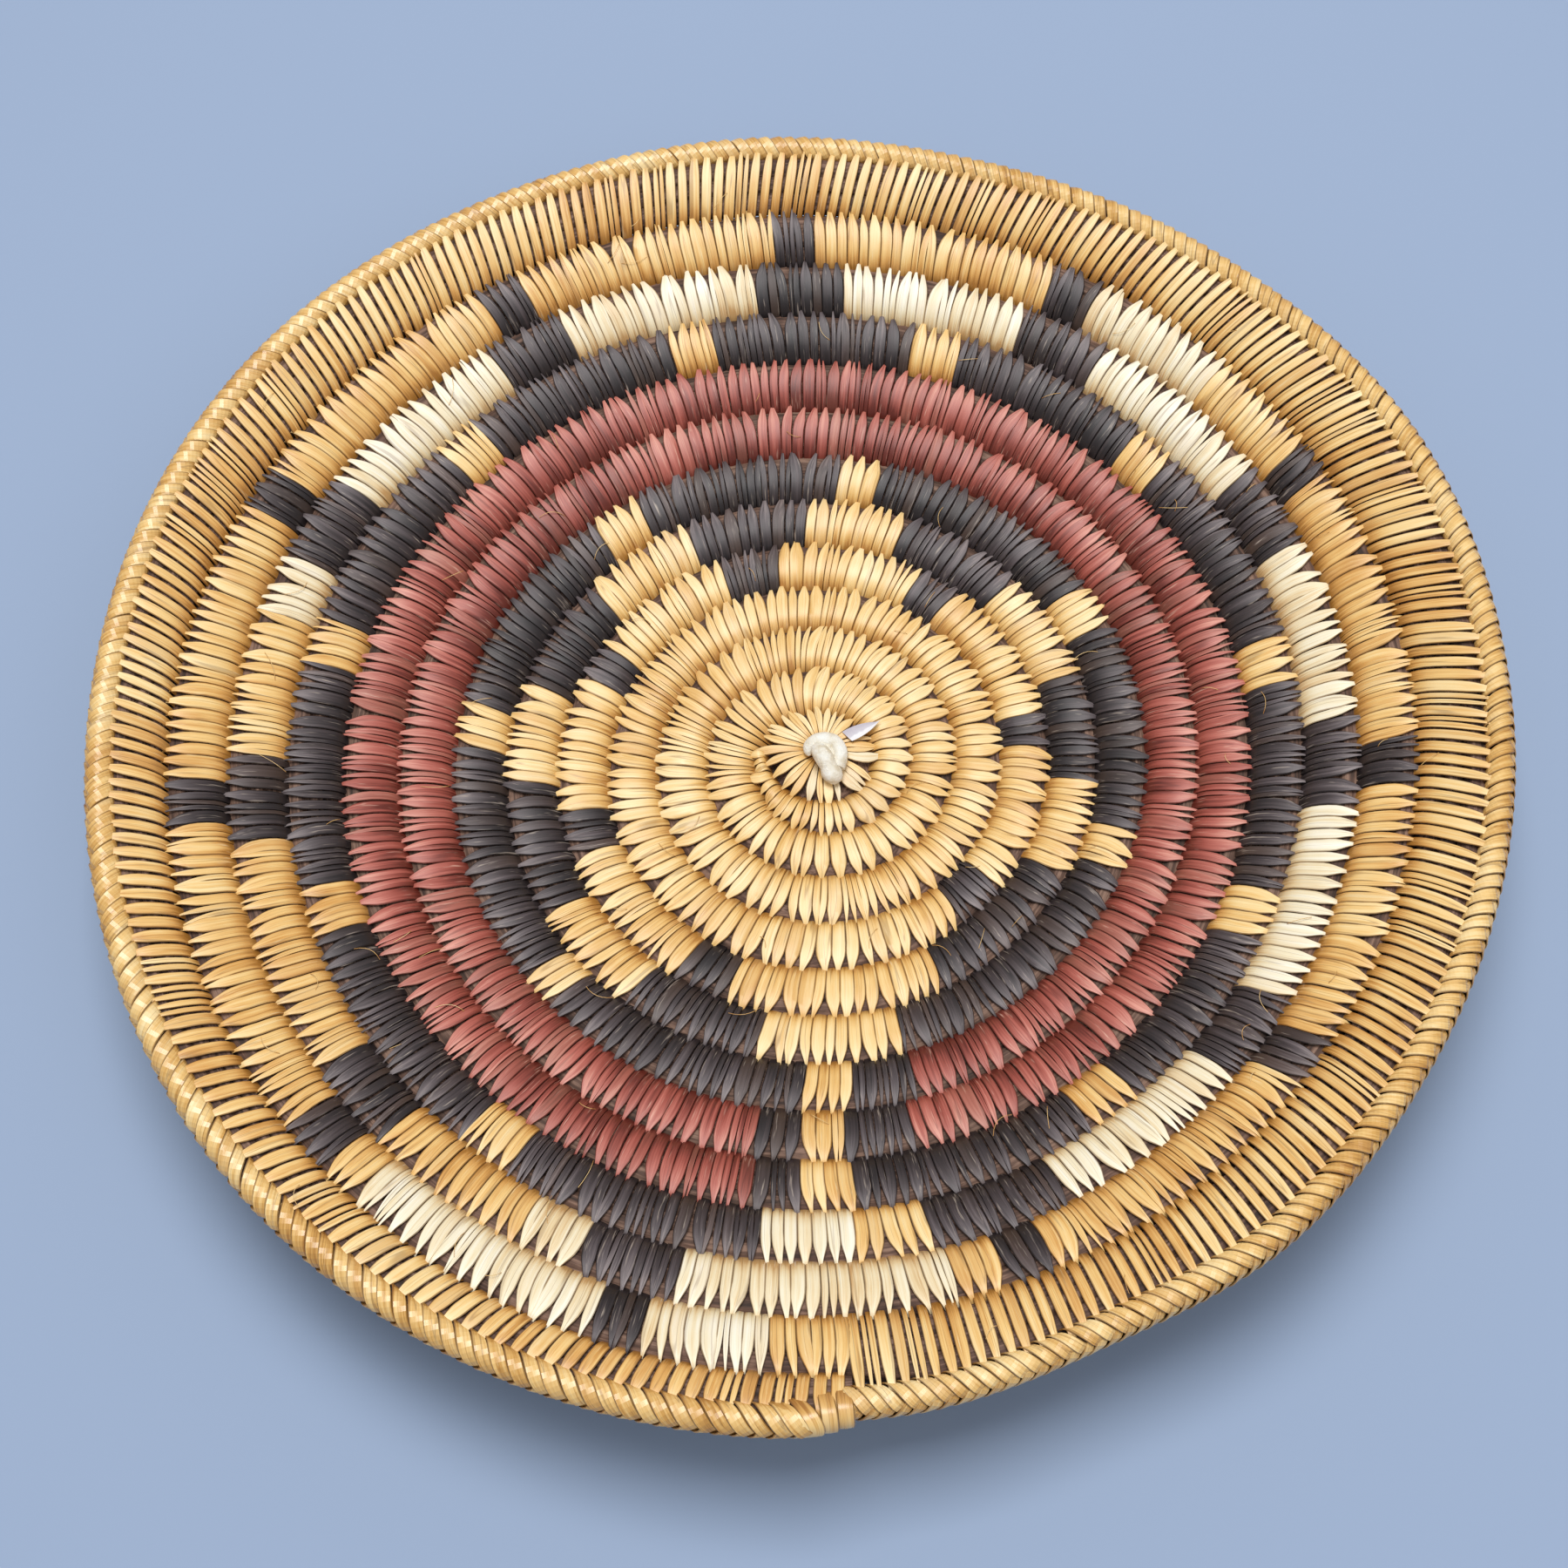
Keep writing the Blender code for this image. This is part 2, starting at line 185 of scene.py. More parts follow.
# Once round a coil from its inner edge over the top: the share of the coil's width, the
# share of its half thickness, and the share of the stitch's full width. A stitch starts
# low and wide under the tips of the turn inside it, keeps its width over the crown, and
# is drawn to a point that hooks down over the next turn.
STITCH_PROFILE = [
    (-0.15, 0.14, 0.94), (-0.07, 0.38, 1.02), (0.02, 0.60, 1.05), (0.12, 0.80, 1.04),
    (0.24, 0.94, 1.02), (0.38, 1.00, 1.01), (0.53, 1.01, 1.00), (0.66, 0.98, 0.99),
    (0.76, 0.93, 0.91), (0.84, 0.88, 0.73), (0.91, 0.82, 0.53), (0.98, 0.74, 0.35),
    (1.05, 0.60, 0.21), (1.09, 0.34, 0.14), (1.03, -0.25, 0.45), (0.90, -0.72, 0.88),
    (0.66, -0.97, 1.00), (0.36, -0.99, 1.00), (0.10, -0.76, 0.98), (-0.08, -0.36, 0.92)]
# How much of its room a stitch fills, and how often a splint has split in two.
COVERS = {"black": (0.84, 0.98), "red": (0.88, 0.99)}
SPLITS = {"black": 0.30, "red": 0.20}
OTHER_SPLITS = 0.13
LAST_SPLITS = 0.09
# Where a splint's four tones lie, from its shaded end to its palest.
TONE_PLACES = (0.05, 0.30, 0.55, 0.88)
# Across a splint: flat on top with a slight crown, thin cut sides, flat below.
SPLINT_SECTION = [(-1.0, -0.25), (-0.86, 0.52), (0.0, 0.82), (0.86, 0.52), (1.0, -0.25)]

chance = random.Random(1905)


def ease(value, low, high):
    share = max(0.0, min(1.0, (value - low) / (high - low)))
    return share * share * (3.0 - 2.0 * share)


def coil_edge(turn):
    """Radius at which one turn of the coil gives way to the next."""
    cosine, sine = math.cos(2.0 * math.pi * turn), math.sin(2.0 * math.pi * turn)
    fade = math.exp(-max(0.0, turn) / START_FADE)
    start = START_SPREAD + START_SHIFT_NEAR * cosine + START_SHIFT_RIGHT * sine
    return START_EDGE + COIL_PITCH * turn + ROW_SHIFT * cosine - ROW_INSET + fade * start


def rim_edge(share):
    """The braid's outer edge, drawn into line where its two ends meet."""
    bulge = sum(far * (1.0 - ease(abs(share - place), 0.0, reach))
                for place, far, reach in RIM_BULGES)
    return (RIM_RADIUS + RIM_GROWTH * (share - 0.5) + bulge
            + START_BULGE * (1.0 - ease(share, 0.0, 0.10))
            - END_PINCH * ease(share, 0.88, 1.0))


def strap_starts():
    """Where the braid's straps begin, as shares of the rim: those of the last part are wider."""
    starts = [0.0]
    while starts[-1] < 1.0:
        wider = 1.0 + WIDER * ease(starts[-1], WIDER_FROM, WIDER_TO)
        starts.append(starts[-1] + wider * RIB_PITCH / (2.0 * math.pi * RIM_RADIUS))
    return starts


def braid_inner_edge(share):
    return rim_edge(share) - BRAID_WIDTH


def start_ring_edge(turn):
    """Edge of the first small ring, which the coil leaves at three quarters of a turn."""
    return coil_edge(turn) if turn <= COIL_START else coil_edge(0.0)


def surface(radius, turn):
    """Point on the middle of the bowl's wall."""
    angle = math.radians(PATH_ANGLE) + 2.0 * math.pi * turn
    centring = 1.0 - radius / RIM_RADIUS
    climb = max(0.0, (radius - FLAT_RADIUS) / (RIM_RADIUS - FLAT_RADIUS))
    warp = WARP_ALONG * math.cos(2.0 * angle) + WARP_ACROSS * math.sin(2.0 * angle)
    return Vector((0.25 * RIM_GROWTH + START_OFFSET_X * centring + radius * math.cos(angle),
                   0.25 * RIM_GROWTH + START_OFFSET_Y * centring + radius * math.sin(angle),
                   HALF_THICK + BOWL_RISE * climb ** RISE_POWER + warp * climb * climb))


def surface_axes(radius, turn):
    """Unit directions outward along the wall and square to it."""
    step = 0.0005
    outward = (surface(radius + step, turn) - surface(radius - step, turn)).normalized()
    upright = Vector((0.0, 0.0, 1.0))
    return outward, (upright - outward * outward.z).normalized()


def coil_edges(turn):
    if turn < 1.0:
        return start_ring_edge(turn), coil_edge(turn)
    if turn > TURNS:
        # The tips of the last turn run in under the braid.
        return coil_edge(turn - 1.0), braid_inner_edge(turn - TURNS) + TIP_COVERED
    return coil_edge(turn - 1.0), coil_edge(turn)


# Colours, given as the eye reads them and turned linear.

def tint(code):
    """A colour from its sRGB hex value."""
    parts = [int(code[at:at + 2], 16) / 255.0 for at in (1, 3, 5)]
    linear = [p / 12.92 if p <= 0.04045 else ((p + 0.055) / 1.055) ** 2.4 for p in parts]
    return (*linear, 1.0)


def wire(tree, node, links=None, values=None):
    """Puts values on some of a node's sockets and links into others."""
    for socket, value in (values or {}).items():
        node.inputs[socket].default_value = value
    for socket, source in (links or {}).items():
        tree.links.new(source, node.inputs[socket])


def add_node(tree, kind, links=None, values=None, **settings):
    node = tree.nodes.new(kind)
    for key, value in settings.items():
        setattr(node, key, value)
    wire(tree, node, links, values)
    return node


def body_place(tree):
    return add_node(tree, "ShaderNodeTexCoord").outputs["Object"]


def new_material(name):
    material = bpy.data.materials.new(name)
    material.use_nodes = True
    tree = material.node_tree
    return material, tree, tree.nodes["Principled BSDF"]


def colour_ramp(tree, factor, stops):
    ramp = add_node(tree, "ShaderNodeValToRGB", {0: factor})
    band = ramp.color_ramp
    while len(band.elements) < len(stops):
        band.elements.new(0.5)
    for element, (place, code) in zip(band.elements, stops):
        element.position = place
        element.color = tint(code)
    return ramp.outputs["Color"]


def calculate(tree, operation, *terms):
    """A step of arithmetic on numbers and on the outputs of other nodes."""
    numbers = {place: term for place, term in enumerate(terms) if isinstance(term, float)}
    links = {place: term for place, term in enumerate(terms) if place not in numbers}
    return add_node(tree, "ShaderNodeMath", links, numbers, operation=operation).outputs[0]


def noise(tree, place, scale, detail, roughness=0.5, distortion=0.0):
    return add_node(tree, "ShaderNodeTexNoise", {"Vector": place},
                    {"Scale": scale, "Detail": detail, "Roughness": roughness,
                     "Distortion": distortion}).outputs["Fac"]


def stretch(tree, place, factors):
    return add_node(tree, "ShaderNodeVectorMath", {0: place}, {1: factors},
                    operation="MULTIPLY").outputs[0]


def remap(tree, value, low, high, bottom, top, kind="LINEAR"):
    """Turns the range of a value from low to high into one from bottom to top."""
    return add_node(tree, "ShaderNodeMapRange", {"Value": value},
                    {"From Min": low, "From Max": high, "To Min": bottom, "To Max": top},
                    interpolation_type=kind).outputs[0]


def mix_in(tree, share, colour, code):
    """A colour with a share of a plain one over it."""
    return add_node(tree, "ShaderNodeMix", {"Factor": share, 6: colour}, {7: tint(code)},
                    data_type="RGBA").outputs[2]


def roughen(tree, shader, height, strength, distance):
    grain = add_node(tree, "ShaderNodeBump", {"Height": height},
                     {"Strength": strength, "Distance": distance}).outputs[0]
    wire(tree, shader, {"Normal": grain})


def splint_material(name, tones, edge, worn, wear, odd, fade, roughness):
    """A split sumac or willow splint: long fine fibres, a waxy shine and darker cut edges.

    tones run from the shaded end of a splint to its palest, edge is the grime along the
    cut sides, worn shows through where wear takes the dye off, odd tints the splints that
    took the colour unevenly, and the shaded end gives way over the share fade of a splint.
    """
    material, tree, shader = new_material(name)
    place = add_node(tree, "ShaderNodeUVMap", uv_map="splint").outputs["UV"]
    split = add_node(tree, "ShaderNodeSeparateXYZ", {0: place})
    across, along = split.outputs["X"], split.outputs["Y"]
    tone = add_node(tree, "ShaderNodeAttribute", attribute_name="tone").outputs["Fac"]
    strand = add_node(tree, "ShaderNodeCombineXYZ",
                      {"X": across, "Y": along, "Z": tone}).outputs[0]
    # Fibre bundles about 0.9 mm wide with finer ones down to 0.1 mm, running lengthwise.
    bundle = stretch(tree, strand, (3.4, 1.2, 91.0))
    fibre = noise(tree, bundle, 1.0, 4.0, 0.68)
    # Hand mottling over patches about 15 mm wide.
    mottle = noise(tree, body_place(tree), 65.0, 2.0)
    # The end that dips into the coil below is darker: partly stain, partly painted shade.
    seat = remap(tree, along, *fade, -1.02, -0.50, "SMOOTHSTEP")
    # The far end is darker too: painted shade where the splint turns to its unlit side.
    far_end_shade = remap(tree, along, 0.58, 0.92, 0.0, -0.24)
    # Both ends together: stain and painted shade at the seat, painted shade at the far end.
    end_stain_and_shade = calculate(tree, "ADD", seat, far_end_shade)
    toned = calculate(tree, "MULTIPLY_ADD", tone, 0.42, end_stain_and_shade)
    grained = calculate(tree, "MULTIPLY_ADD", fibre, 1.2, toned)
    mixed = calculate(tree, "MULTIPLY_ADD", mottle, 0.5, grained)
    plain = colour_ramp(tree, mixed, list(zip(TONE_PLACES, tones)))
    # A few splints in ten took the dye or the smoke differently.
    draw = calculate(tree, "FRACT", calculate(tree, "MULTIPLY", tone, 37.7))
    colour = mix_in(tree, remap(tree, draw, 0.74, 1.0, 0.0, 0.40), plain, odd)
    # Grime settles along both cut sides.
    distance = calculate(tree, "ABSOLUTE", calculate(tree, "SUBTRACT", across, 0.5))
    rim = remap(tree, distance, 0.39, 0.48, 0.0, 0.75, "SMOOTHSTEP")
    # Fine splits run down some splints.
    line = noise(tree, stretch(tree, strand, (2.3, 0.5, 57.0)), 1.0, 0.0)
    near = calculate(tree, "ABSOLUTE", calculate(tree, "SUBTRACT", line, 0.5))
    crack = remap(tree, near, 0.006, 0.022, 0.38, 0.0)
    grimed = mix_in(tree, calculate(tree, "MAXIMUM", rim, crack), colour, edge)
    # Wear takes the dye off in flecks that follow the fibre.
    fleck = noise(tree, stretch(tree, bundle, (1.6, 3.4, 1.7)), 1.0, 2.0, 0.7)
    finished = mix_in(tree, remap(tree, fleck, 0.62, 0.78, 0.0, wear), grimed, worn)
    shine = calculate(tree, "MULTIPLY_ADD", fibre, 0.24, roughness - 0.12)
    wire(tree, shader, {"Base Color": finished, "Roughness": shine}, {"IOR": 1.52})
    roughen(tree, shader, fibre, 0.4, 0.00016)
    return material


def rod_material():
    """Peeled willow rod with long shrinkage lines, aged grey-brown and darkened as painted shade.
    """
    material, tree, shader = new_material("willow_rod_with_painted_shade")
    body = body_place(tree)
    split = add_node(tree, "ShaderNodeSeparateXYZ", {0: body})
    x, y, z = (split.outputs[axis] for axis in "XYZ")
    flat = add_node(tree, "ShaderNodeCombineXYZ", {"X": x, "Y": y}).outputs[0]
    reach = add_node(tree, "ShaderNodeVectorMath", {0: flat}, operation="LENGTH").outputs["Value"]
    polar = add_node(tree, "ShaderNodeCombineXYZ",
                     {"X": reach, "Y": calculate(tree, "ARCTAN2", y, x), "Z": z}).outputs[0]
    # Lines 0.8 mm apart across the rod and about 12 mm long.
    lines = noise(tree, stretch(tree, polar, (1200.0, 9.0, 1200.0)), 1.0, 3.0, 0.6)
    patches = noise(tree, body, 150.0, 2.0)
    mixed = calculate(tree, "MULTIPLY_ADD", patches, 0.6, lines)
    # These browns sit darker than the rod's own grey: painted shade for the gaps between stitches.
    colour = colour_ramp(tree, mixed, [(0.60, "#35241B"), (0.80, "#614638"), (0.98, "#8F705E")])
    wire(tree, shader, {"Base Color": colour}, {"Roughness": 0.75})
    roughen(tree, shader, lines, 0.6, 0.0002)
    return material


def cotton_material():
    """Undyed cotton string worn soft: matt, with a fine fuzz."""
    material, tree, shader = new_material("soft_cotton")
    body = body_place(tree)
    soil = noise(tree, body, 330.0, 3.0)
    colour = colour_ramp(tree, soil, [(0.32, "#DDD0B4"), (0.48, "#F4EDDC"), (0.66, "#FBF9EF")])
    wire(tree, shader, {"Base Color": colour},
         {"Roughness": 0.95, "Specular IOR Level": 0.25, "Sheen Weight": 0.2,
          "Sheen Roughness": 0.5})
    roughen(tree, shader, noise(tree, body, 1500.0, 4.0, 0.7), 0.9, 0.0004)
    return material


def husk_material():
    """A scrap of thin dry husk: faintly lilac, paler along its folded edge."""
    material, tree, shader = new_material("dry_husk")
    place = add_node(tree, "ShaderNodeUVMap", uv_map="splint").outputs["UV"]
    split = add_node(tree, "ShaderNodeSeparateXYZ", {0: place})
    veins = noise(tree, body_place(tree), 500.0, 2.0, distortion=0.6)
    banded = calculate(tree, "MULTIPLY_ADD", veins, 0.35, split.outputs["Y"])
    colour = colour_ramp(tree, banded, [(0.44, "#F2EFF0"), (0.58, "#CFC9CF"), (1.0, "#BDB5BD")])
    wire(tree, shader, {"Base Color": colour}, {"Roughness": 0.45})
    return material


def floor_material():
    """Plain matt paper."""
    material, tree, shader = new_material("plain_paper")
    wire(tree, shader, values={"Base Color": tint("#9CADC7"), "Roughness": 0.9,
                               "Specular IOR Level": 0.2})
    return material


def carry(piece, nodes):
    """Lets a piece ride on the basket with its slot, in the place of its nodes."""
    bpy.context.scene.collection.objects.link(piece)
    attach(piece, "root")
    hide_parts(*nodes)


def finish(name, mesh, material, nodes):
    """Turns a bmesh into a piece that rides on the basket and stands for its nodes."""
    bmesh.ops.recalc_face_normals(mesh, faces=mesh.faces)
    data = bpy.data.meshes.new(name)
    mesh.to_mesh(data)
    mesh.free()
    data.materials.append(material)
    for polygon in data.polygons:
        polygon.use_smooth = True
    data.set_sharp_from_angle(angle=math.radians(36.0))
    carry(bpy.data.objects.new(name, data), nodes)


# Splints.

def spin_outline(mesh, places, centre, axis, angle, steps, merge):
    """A closed outline turned once round an axis into a ring."""
    corners = [mesh.verts.new(place) for place in places]
    edges = [mesh.edges.new((corner, corners[(index + 1) % len(corners)]))
             for index, corner in enumerate(corners)]
    bmesh.ops.spin(mesh, geom=corners + edges, cent=centre, axis=axis, angle=angle,
                   steps=steps, use_merge=True)
    bmesh.ops.remove_doubles(mesh, verts=mesh.verts, dist=merge)


def master_ring(mesh, steps):
    """A straight-edged band round the Y axis, to be copied and laid as a stitch.

    The angle is the place along the splint, Y the place across it, and the distance from
    one the height above its middle.
    """
    spin_outline(mesh, [(1.0 + 0.1 * lift, across, 0.0) for across, lift in SPLINT_SECTION],
                 (0.0, 0.0, 0.0), (0.0, 1.0, 0.0), -2.0 * math.pi, steps, 0.0001)
    uv = mesh.loops.layers.uv.new("splint")
    mesh.verts.layers.float.new("tone")
    for face in mesh.faces:
        marks = [(loop, along_ring(loop.vert.co)) for loop in face.loops]
        late = max(mark for _, mark in marks) > 0.75
        for loop, mark in marks:
            loop[uv].uv = (0.5 + 0.5 * loop.vert.co.y, 1.0 if late and mark < 0.25 else mark)
    return list(mesh.verts) + list(mesh.edges) + list(mesh.faces)


def along_ring(place):
    share = math.atan2(place.z, place.x) / (2.0 * math.pi) % 1.0
    return 0.0 if share > 0.9999 else share


def master_strap(mesh, steps):
    """The same section drawn straight from X = 0 to 1 with closed ends."""
    corners = [mesh.verts.new((0.0, across, 0.1 * lift)) for across, lift in SPLINT_SECTION]
    faces = [mesh.faces.new(corners)]
    for _ in range(steps):
        grown = bmesh.ops.extrude_face_region(mesh, geom=faces)["geom"]
        bmesh.ops.translate(mesh, vec=(1.0 / steps, 0.0, 0.0),
                            verts=[item for item in grown if isinstance(item, bmesh.types.BMVert)])
        faces = [item for item in grown if isinstance(item, bmesh.types.BMFace)]
    uv = mesh.loops.layers.uv.new("splint")
    mesh.verts.layers.float.new("tone")
    for face in mesh.faces:
        for loop in face.loops:
            loop[uv].uv = (0.5 + 0.5 * loop.vert.co.y, loop.vert.co.x)
    return list(mesh.verts) + list(mesh.edges) + list(mesh.faces)


def lay(mesh, master, stations, closed, thick, tone, tilt=0.0):
    """Copies the master splint and lays the copy through stations.

    A station is a point, the direction outward from what the splint lies on, and the
    splint's half width there. The tilt lifts one cut side over the splint beside it.
    """
    steps = len(stations) if closed else len(stations) - 1
    frames = []
    for index, (point, outward, half) in enumerate(stations):
        if closed:
            before, after = stations[index - 1][0], stations[(index + 1) % steps][0]
        else:
            before = stations[max(0, index - 1)][0]
            after = stations[min(steps, index + 1)][0]
        side = outward.cross(after - before).normalized()
        frames.append((point, outward, (side + outward * tilt) * half))
    layer = mesh.verts.layers.float["tone"]
    for item in bmesh.ops.duplicate(mesh, geom=master)["geom"]:
        if not isinstance(item, bmesh.types.BMVert):
            continue
        place = item.co
        if closed:
            station = round(along_ring(place) * steps) % steps
            lift = (math.hypot(place.x, place.z) - 1.0) * 10.0
        else:
            station = round(place.x * steps)
            lift = place.z * 10.0
        point, outward, side = frames[station]
        item[layer] = tone
        item.co = point + side * place.y + outward * (lift * thick)


def drop_master(mesh, master):
    bmesh.ops.delete(mesh, geom=[item for item in master if isinstance(item, bmesh.types.BMVert)])


# The plan of the sewing.

def camera_axes():
    """Unit directions across the camera's view, up it, and back toward the camera."""
    back = Vector((0.0, -math.cos(CAMERA_RISE), math.sin(CAMERA_RISE)))
    right = Vector((1.0, 0.0, 0.0))
    rise = back.cross(right)
    return (right * math.cos(CAMERA_ROLL) - rise * math.sin(CAMERA_ROLL),
            right * math.sin(CAMERA_ROLL) + rise * math.cos(CAMERA_ROLL), back)


def seen_place(point):
    """Where the camera sees a point, from the middle of its view."""
    across, up, back = camera_axes()
    arm = point - AIM
    depth = CAMERA_REACH - arm.dot(back)
    return arm.dot(across) / depth, arm.dot(up) / depth


def sight_to_turn(row, wanted):
    """The turn at which the camera sees a coil at an angle about the knot, by halving."""
    knot = seen_place(surface(0.0, 0.0) + SIGHT_CENTRE)
    low, high = row - 0.1, row + 1.1
    for _ in range(30):
        middle = 0.5 * (low + high)
        place = seen_place(surface(coil_edge(middle) - 0.5 * COIL_PITCH, middle))
        angle = math.degrees(math.atan2(place[1] - knot[1], place[0] - knot[0]))
        near = PATH_ANGLE + 360.0 * (middle - row)
        angle += 360.0 * round((near - angle) / 360.0)
        low, high = (middle, high) if angle < wanted else (low, middle)
    return 0.5 * (low + high)


def colour_runs():
    """Every run of one colour along the coil, as its colour, first and last turn."""
    runs = []
    for row in range(1, TURNS + 1):
        spans, reached = [], PATH_ANGLE
        for colour, first, last in MARKS.get(row, []):
            if first > reached:
                spans.append((GROUND[row], reached, first))
            spans.append((colour, first, last))
            reached = last
        if reached < PATH_AGAIN:
            spans.append((GROUND[row], reached, PATH_AGAIN))
        for colour, first, last in spans:
            begin = runs[-1][2] if runs else 1.0
            whole = row == TURNS and last == PATH_AGAIN
            end = TURNS + 1.0 if whole else sight_to_turn(row, last)
            if runs and runs[-1][0] == colour:
                runs[-1] = (colour, runs[-1][1], end)
            else:
                runs.append((colour, begin, end))
    return runs


def arc_at(turn):
    """Length along the middle of the coil from the start of the spiral."""
    return 2.0 * math.pi * ((START_EDGE - 0.5 * COIL_PITCH) * turn
                            + 0.5 * COIL_PITCH * turn * turn)


def turn_at(arc):
    base = START_EDGE - 0.5 * COIL_PITCH
    return (-base + math.sqrt(base * base + 2.0 * COIL_PITCH * arc / (2.0 * math.pi))) / COIL_PITCH


def plan_stitches():
    """Every stitch as its colour, first and last turn, in order along the coil."""
    stitches = []
    for colour, first, last in colour_runs():
        begin, end = arc_at(first), arc_at(min(last, TURNS))
        count = max(1, round((end - begin) / STITCH_PITCH))
        widths = []
        for _ in range(count):
            if chance.random() < SPLITS.get(colour, OTHER_SPLITS):
                widths += [chance.uniform(0.36, 0.66), chance.uniform(0.40, 0.62)]
            else:
                widths.append(chance.uniform(0.78, 1.24))
        scale = (end - begin) / sum(widths)
        for width in widths:
            stitches.append((colour, turn_at(begin), turn_at(begin + width * scale)))
            begin += width * scale
    # Round the last turn each stitch leads to one strap of the braid.
    starts = strap_starts()
    for start, following in zip(starts, starts[1:-1]):
        unit = following - start
        tip = TURNS + start + 0.5 * unit
        first = tip - 0.75 * slope_at(tip) - 0.5 * unit
        cuts = [0.0, 1.0]
        if chance.random() <= LAST_SPLITS:
            cuts.insert(1, chance.uniform(0.4, 0.6))
        for low, high in zip(cuts, cuts[1:]):
            stitches.append(("golden", first + low * unit, first + high * unit))
    return stitches


def node_of(turn):
    for name, last in SLEEVE_ENDS:
        if turn < last:
            return name
    return SLEEVE_ENDS[-1][0]


def blend(stops, place):
    """The values that a list of stops gives between its places."""
    for (first, *low), (last, *high) in zip(stops, stops[1:]):
        if place <= last:
            share = max(0.0, (place - first) / (last - first))
            return [a + (b - a) * share for a, b in zip(low, high)]
    return list(stops[-1][1:])


def slant_at(turn):
    """How far back a stitch slopes, as the tangent of its angle."""
    if turn > TURNS:
        slant = blend(LAST_SLANTS, turn)[0]
    else:
        mean, swing = blend(SLANTS, turn)
        slant = mean + swing * math.cos(2.0 * math.pi * (turn - SLANT_PEAK))
    return math.tan(math.radians(slant))


def slope_at(turn):
    """The same as turns from one edge of the coil to the other."""
    inner, outer = coil_edges(turn)
    return -slant_at(turn) * (outer - inner) / (math.pi * (outer + inner))


def stitch_stations(first, last, slope, lean, inner, outer, half_thick, cover, blunt=0.0):
    """Stations of one stitch round the coil.

    The whole stitch slopes back by slope turns, its tip is drawn aside by lean turns, and
    it narrows no further than to the share blunt of its width.
    """
    middle = 0.5 * (first + last)
    half_angle = math.pi * (last - first) * cover
    points = []
    for share, height, width in STITCH_PROFILE:
        radius = inner + share * (outer - inner)
        drawn = max(0.0, (share - 0.45) / 0.55) ** 1.5
        turn = middle + slope * (share - 0.3) + lean * drawn
        outward, square = surface_axes(radius, turn)
        points.append((surface(radius, turn) + square * (height * half_thick), outward, square,
                       max(0.00018, half_angle * radius
                           * (width if height < 0.0 else blunt + (1.0 - blunt) * width))))
    stations = []
    for index, (point, outward, square, half) in enumerate(points):
        path = points[(index + 1) % len(points)][0] - points[index - 1][0]
        normal = outward * path.dot(square) * -1.0 + square * path.dot(outward)
        stations.append((point, normal.normalized(), half))
    return stations


def sew_coils(materials):
    stitches = plan_stitches()
    gaps = [first for _, first, _ in stitches]
    groups = {}
    splint_tone, left = 0.5, 0
    for colour, first, last in stitches:
        middle = 0.5 * (first + last)
        slope = slope_at(middle)
        tip = middle + 0.7 * slope
        nearest = bisect.bisect(gaps, tip + 1.0)
        around = [gap - 1.0 for gap in gaps[nearest - 1:nearest + 1]]
        lean = min((gap - tip for gap in around), key=abs) if middle < TURNS else 0.0
        limit = 0.36 * (last - first)
        lean = max(-limit, min(limit, lean)) + chance.uniform(-0.06, 0.06) * (last - first)
        if left == 0:
            splint_tone, left = chance.random(), chance.randint(4, 12)
        left -= 1
        tone = 0.55 * splint_tone + 0.45 * chance.random()
        groups.setdefault((node_of(middle), colour), []).append((first, last, slope, lean, tone))
    for (node, colour), laid in groups.items():
        mesh = bmesh.new()
        master = master_ring(mesh, len(STITCH_PROFILE))
        for first, last, slope, lean, tone in laid:
            inner, outer = coil_edges(0.5 * (first + last))
            outermost = 0.5 * (first + last) > TURNS
            cover = chance.uniform(*((0.72, 0.88) if outermost
                                     else COVERS.get(colour, (0.93, 1.02))))
            squeeze = min(1.0, (outer - inner) / COIL_PITCH) ** 0.5 if outermost else 1.0
            stations = stitch_stations(first, last, slope, lean, inner,
                                       outer + chance.uniform(-0.03, 0.04) * (outer - inner),
                                       STITCH_HALF_THICK * squeeze * chance.uniform(0.97, 1.035),
                                       cover, 0.42 if outermost else chance.uniform(0.0, 0.22))
            lay(mesh, master, stations, True, SPLINT_THICK, tone, chance.uniform(-0.09, 0.09))
        drop_master(mesh, master)
        finish(f"{node}_{colour}_stitches" if colour not in node else f"{node}_stitches",
               mesh, materials[colour], [node])


